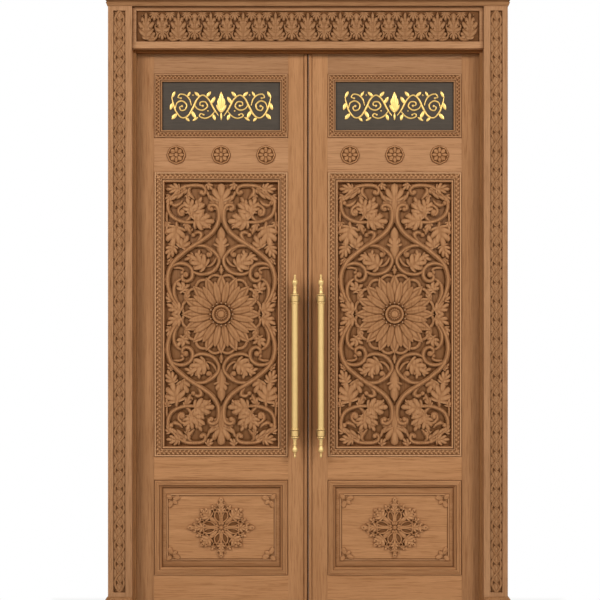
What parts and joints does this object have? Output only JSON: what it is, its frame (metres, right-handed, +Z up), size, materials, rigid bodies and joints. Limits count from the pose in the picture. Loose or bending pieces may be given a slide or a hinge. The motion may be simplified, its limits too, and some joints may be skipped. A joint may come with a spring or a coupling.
{
  "type": "carved double door with frame",
  "caption": "Tall carved wooden double door in its frame, with scrollwork panels, gilt plaques and long turned brass pulls; both leaves swing inwards.",
  "frame": {"origin": "middle of the bounding box on the floor, under the meeting line of the leaves", "axes": "+X to the right seen from the front, +Y inwards through the doorway (the carved front faces -Y), +Z up"},
  "size_m": [2.072, 0.244, 3.17],
  "materials": {
    "frame_wood": "satin",
    "leaf_wood": "satin",
    "carved_wood": "satin",
    "plaque": "satin",
    "gilt": "satin",
    "brass": "polished",
    "hinge_metal": "satin"
  },
  "bodies": {
    "frame": {"left_post": "frame_wood", "right_post": "frame_wood", "left_post_carving": "carved_wood", "right_post_carving": "carved_wood", "left_plinth": "frame_wood", "right_plinth": "frame_wood", "left_jamb": "frame_wood", "right_jamb": "frame_wood", "left_jamb_hinges": "hinge_metal", "right_jamb_hinges": "hinge_metal", "head_jamb": "frame_wood", "lintel": "frame_wood", "frieze_carving": "carved_wood", "frieze_moulding": "frame_wood", "cornice": "frame_wood"},
    "left_leaf": {"left_hinge_stile": "leaf_wood", "left_meeting_stile": "leaf_wood", "left_bottom_rail": "leaf_wood", "left_lock_rail": "leaf_wood", "left_rosette_rail": "leaf_wood", "left_top_rail": "leaf_wood", "left_plaque": "plaque", "left_plaque_ornament": "gilt", "left_plaque_moulding": "carved_wood", "left_scroll_panel": "carved_wood", "left_scroll_moulding": "carved_wood", "left_lower_panel": "leaf_wood", "left_lower_carving": "carved_wood", "left_lower_moulding": "leaf_wood", "left_rosettes": "carved_wood", "left_pull_bar": "brass", "left_pull_collars": "brass", "left_pull_finials": "brass", "left_inner_pull": "brass", "left_pull_studs": "brass", "left_leaf_hinges": "hinge_metal"},
    "right_leaf": {"right_hinge_stile": "leaf_wood", "right_meeting_stile": "leaf_wood", "right_bottom_rail": "leaf_wood", "right_lock_rail": "leaf_wood", "right_rosette_rail": "leaf_wood", "right_top_rail": "leaf_wood", "right_plaque": "plaque", "right_plaque_ornament": "gilt", "right_plaque_moulding": "carved_wood", "right_scroll_panel": "carved_wood", "right_scroll_moulding": "carved_wood", "right_lower_panel": "leaf_wood", "right_lower_carving": "carved_wood", "right_lower_moulding": "leaf_wood", "right_rosettes": "carved_wood", "right_pull_bar": "brass", "right_pull_collars": "brass", "right_pull_finials": "brass", "right_inner_pull": "brass", "right_pull_studs": "brass", "right_leaf_hinges": "hinge_metal"}
  },
  "joints": [
    {"name": "left_leaf_swing", "type": "hinge", "parent": "frame", "child": "left_leaf", "pos_m": [-0.8785, 0.063, 1.4475], "axis": [0, 0, 1], "range_deg": [0, 110]},
    {"name": "right_leaf_swing", "type": "hinge", "parent": "frame", "child": "right_leaf", "pos_m": [0.8785, 0.063, 1.4475], "axis": [0, 0, -1], "range_deg": [0, 110]}
  ]
}
